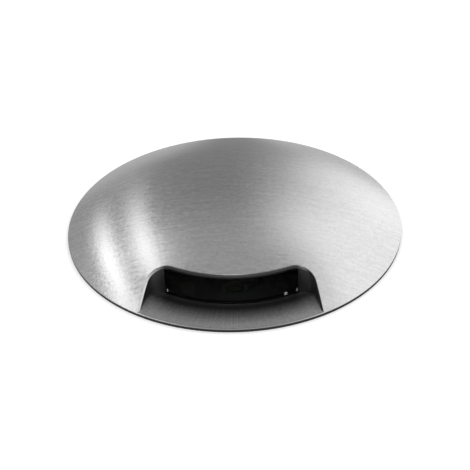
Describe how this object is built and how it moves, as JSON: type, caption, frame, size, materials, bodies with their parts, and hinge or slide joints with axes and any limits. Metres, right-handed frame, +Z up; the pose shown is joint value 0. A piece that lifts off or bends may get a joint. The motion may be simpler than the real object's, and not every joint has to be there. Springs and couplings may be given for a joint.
{
  "type": "recessed path light",
  "caption": "Flush in-ground marker light: domed brushed steel cap with one side window over a sealed LED unit that lifts out of a sleeve set in paving.",
  "frame": {"origin": "on the light's axis at the paving's surface, which is the underside of the cap's rim", "axes": "+Z up along the axis, the cap's window faces -Y, +X to the right of someone who faces the window"},
  "size_m": [0.09, 0.09, 0.1075],
  "materials": {
    "brushed_cap": "brushed in one direction",
    "polished_dish": "polished",
    "steel_screws": "satin",
    "polished_ring": "satin",
    "black_silicone": "matt",
    "clear_glass": "clear",
    "anodised_body": "fine turned, hard anodised",
    "grey_pad": "matt",
    "white_board": "solder mask",
    "led_phosphor": "domed",
    "clear_optic": "clear",
    "black_holder": "moulded",
    "lead_cover": "insulated",
    "green_board": "solder mask",
    "brass_spacers": "turned",
    "ferrite": "sintered",
    "capacitor_cans": "sleeved can",
    "chip_black": "moulded",
    "terminal_green": "moulded",
    "plated_brass": "nickel plated",
    "spring_steel": "rolled sheet",
    "spring_wire": "drawn wire",
    "sleeve_plastic": "moulded"
  },
  "bodies": {
    "sleeve": {"sleeve": "sleeve_plastic", "sleeve_foot": "sleeve_plastic"},
    "seating_ring": {"seating_ring": "black_silicone"},
    "light_unit": {"cap": "brushed_cap", "light_deflector": "polished_dish", "deflector_screws": "steel_screws", "lens_ring": "polished_ring", "lens_top_gasket": "black_silicone", "lens": "clear_glass", "lens_bottom_gasket": "black_silicone", "housing": "anodised_body", "cap_screws": "steel_screws", "thermal_pad": "grey_pad", "led_board": "white_board", "leds": "led_phosphor", "optics": "clear_optic", "optic_holder": "black_holder", "module_screws": "steel_screws", "web_grommet": "black_silicone", "link_leads": "lead_cover", "driver_board": "green_board", "board_spacers": "brass_spacers", "driver_screws": "steel_screws", "inductor": "ferrite", "capacitors": "capacitor_cans", "driver_chip": "chip_black", "terminal_block": "terminal_green", "base_plate": "anodised_body", "base_o_ring": "black_silicone", "base_screws": "steel_screws", "gland_body": "plated_brass", "gland_washer": "black_silicone", "gland_seal": "black_silicone", "gland_nut": "plated_brass", "gland_lock_nut": "plated_brass", "clip_brackets": "spring_steel", "clip_pins": "steel_screws", "clip_springs": "spring_wire", "clip_screws": "steel_screws"},
    "clip_arm_right": {"clip_arm_right": "spring_steel"},
    "clip_arm_left": {"clip_arm_left": "spring_steel"}
  },
  "joints": [
    {"name": "lift", "type": "slide", "parent": "sleeve", "child": "seating_ring", "axis": [0, 0, 1], "range_m": [0, 0.078]},
    {"name": "aim", "type": "hinge", "parent": "seating_ring", "child": "light_unit", "pos_m": [0, 0, 0], "axis": [0, 0, 1], "continuous": true},
    {"name": "clip_right_swing", "type": "hinge", "parent": "light_unit", "child": "clip_arm_right", "pos_m": [0.0332, 0, -0.045], "axis": [0, -1, 0], "range_deg": [0, 9], "stiffness_Nm_per_rad": 0.01, "springref_deg": -20.05},
    {"name": "clip_left_swing", "type": "hinge", "parent": "light_unit", "child": "clip_arm_left", "pos_m": [-0.0332, 0, -0.045], "axis": [0, 1, 0], "range_deg": [0, 9], "stiffness_Nm_per_rad": 0.01, "springref_deg": -20.05}
  ]
}
